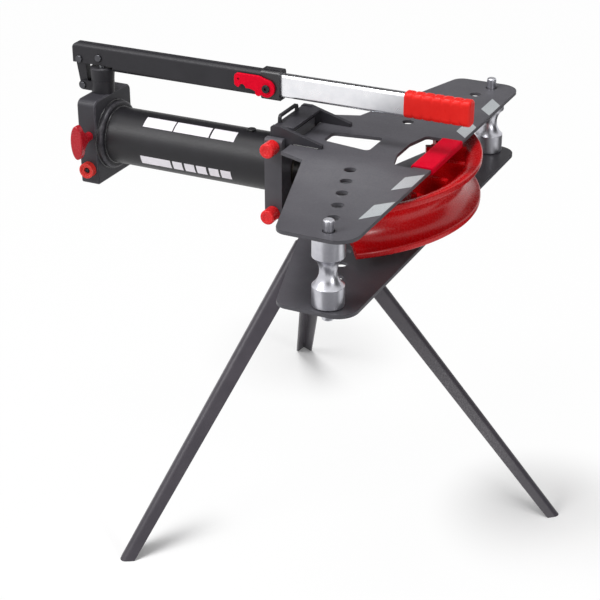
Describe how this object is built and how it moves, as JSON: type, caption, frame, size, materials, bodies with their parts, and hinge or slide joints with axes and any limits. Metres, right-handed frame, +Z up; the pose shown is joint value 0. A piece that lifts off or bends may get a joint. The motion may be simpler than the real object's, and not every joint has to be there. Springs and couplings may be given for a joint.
{
  "type": "hydraulic pipe bender",
  "caption": "Hand-pumped hydraulic pipe bender: horizontal cylinder pushes a grooved former between two wing plates with side rollers, on folding tripod legs.",
  "frame": {"origin": "on the floor, under the middle of the overall outline", "axes": "+X along the ram towards the former, +Y across the wings to the side away from the release knob, +Z up"},
  "size_m": [0.93, 0.8185, 0.749],
  "materials": {
    "black_coat": "satin powder coat",
    "red_coat": "gloss paint",
    "red_plastic": "moulded",
    "turned_steel": "turned",
    "zinc_steel": "zinc plated",
    "ram_chrome": "hard chrome",
    "seal_rubber": "matte",
    "gland_bronze": "turned"
  },
  "bodies": {
    "frame": {"pump_block": "black_coat", "pump_barrel": "black_coat", "gland_nut": "black_coat", "fork_pin": "zinc_steel", "pressure_plug": "red_coat", "cylinder_tube": "black_coat", "tube_collar": "black_coat", "filler_plug": "zinc_steel", "cylinder_head": "black_coat", "ram_gland": "gland_bronze", "lower_plate": "black_coat", "lower_ears": "black_coat", "tripod_ears": "black_coat", "leg_bolts": "zinc_steel"},
    "link": {"lever_link": "black_coat"},
    "lever": {"lever_tube": "black_coat", "lever_collar": "black_coat", "lever_pins": "zinc_steel", "latch_screw": "zinc_steel"},
    "pump_piston": {"pump_rod": "ram_chrome"},
    "bar": {"lever_bar": "zinc_steel", "lever_grip": "red_plastic"},
    "latch": {"lever_latch": "red_coat"},
    "ram": {"ram": "ram_chrome", "ram_piston": "turned_steel", "piston_seal": "seal_rubber"},
    "former": {"former": "red_coat"},
    "wing": {"wing_plate": "black_coat", "wing_sleeve": "red_plastic", "wing_cheeks": "black_coat", "wing_cover": "black_coat", "wing_bail": "black_coat"},
    "roller_near": {"roller_near": "turned_steel"},
    "roller_far": {"roller_far": "turned_steel"},
    "upper_pin": {"upper_pin": "turned_steel", "upper_pin_cap": "red_plastic"},
    "lower_pin": {"lower_pin": "turned_steel", "lower_pin_cap": "red_plastic"},
    "valve": {"release_knob": "red_plastic", "valve_stem": "turned_steel"},
    "leg_front": {"leg_front": "black_coat"},
    "leg_near": {"leg_near": "black_coat"},
    "leg_far": {"leg_far": "black_coat"}
  },
  "joints": [
    {"name": "lever_swing", "type": "hinge", "parent": "link", "child": "lever", "pos_m": [-0.45196, 0.01167, 0.7165], "axis": [0, -1, 0], "range_deg": [0, 50]},
    {"name": "link_swing", "type": "hinge", "parent": "frame", "child": "link", "pos_m": [-0.44596, 0.01167, 0.67], "axis": [0, 1, 0], "range_deg": [0, 12.5]},
    {"name": "pump_stroke", "type": "slide", "parent": "frame", "child": "pump_piston", "axis": [0, 0, 1], "range_m": [0, 0.0247]},
    {"name": "bar_slide", "type": "slide", "parent": "lever", "child": "bar", "axis": [1, 0, 0], "range_m": [-0.215, 0.03]},
    {"name": "latch_turn", "type": "hinge", "parent": "lever", "child": "latch", "pos_m": [-0.07946, 0.01167, 0.7185], "axis": [0, 1, 0], "range_deg": [0, 30]},
    {"name": "ram_stroke", "type": "slide", "parent": "frame", "child": "ram", "axis": [1, 0, 0], "range_m": [-0.13, 0.07]},
    {"name": "former_off", "type": "slide", "parent": "ram", "child": "former", "axis": [1, 0, 0], "range_m": [0, 0.04]},
    {"name": "wing_lift", "type": "hinge", "parent": "frame", "child": "wing", "pos_m": [-0.03946, 0.01167, 0.642], "axis": [0, -1, 0], "range_deg": [0, 10]},
    {"name": "roller_near_spin", "type": "hinge", "parent": "frame", "child": "roller_near", "pos_m": [0.18904, -0.33983, 0.583], "axis": [0, 0, 1], "continuous": true},
    {"name": "roller_far_spin", "type": "hinge", "parent": "frame", "child": "roller_far", "pos_m": [0.18904, 0.36317, 0.583], "axis": [0, 0, 1], "continuous": true},
    {"name": "upper_pin_draw", "type": "slide", "parent": "frame", "child": "upper_pin", "axis": [0, -1, 0], "range_m": [0, 0.165]},
    {"name": "lower_pin_draw", "type": "slide", "parent": "frame", "child": "lower_pin", "axis": [0, -1, 0], "range_m": [0, 0.165]},
    {"name": "valve_turn", "type": "hinge", "parent": "frame", "child": "valve", "pos_m": [-0.40796, 0.01167, 0.596], "axis": [0, 1, 0], "range_deg": [0, 270]},
    {"name": "leg_front_fold", "type": "hinge", "parent": "frame", "child": "leg_front", "pos_m": [0.04099, 0.01341, 0.48], "axis": [-0.061, 0.9981, 0], "range_deg": [0, 37.7]},
    {"name": "leg_far_fold", "type": "hinge", "parent": "frame", "child": "leg_far", "pos_m": [-0.00128, 0.0366, 0.48], "axis": [-0.8746, -0.4848, 0], "range_deg": [0, 37.7]},
    {"name": "leg_near_fold", "type": "hinge", "parent": "frame", "child": "leg_near", "pos_m": [0.00186, -0.01475, 0.48], "axis": [0.9272, -0.3746, 0], "range_deg": [0, 37.7]}
  ],
  "couplings": [
    {"joint": "link_swing", "follows": "lever_swing", "ratio": 0.247},
    {"joint": "pump_stroke", "follows": "lever_swing", "m_per_rad": 0.02806}
  ]
}
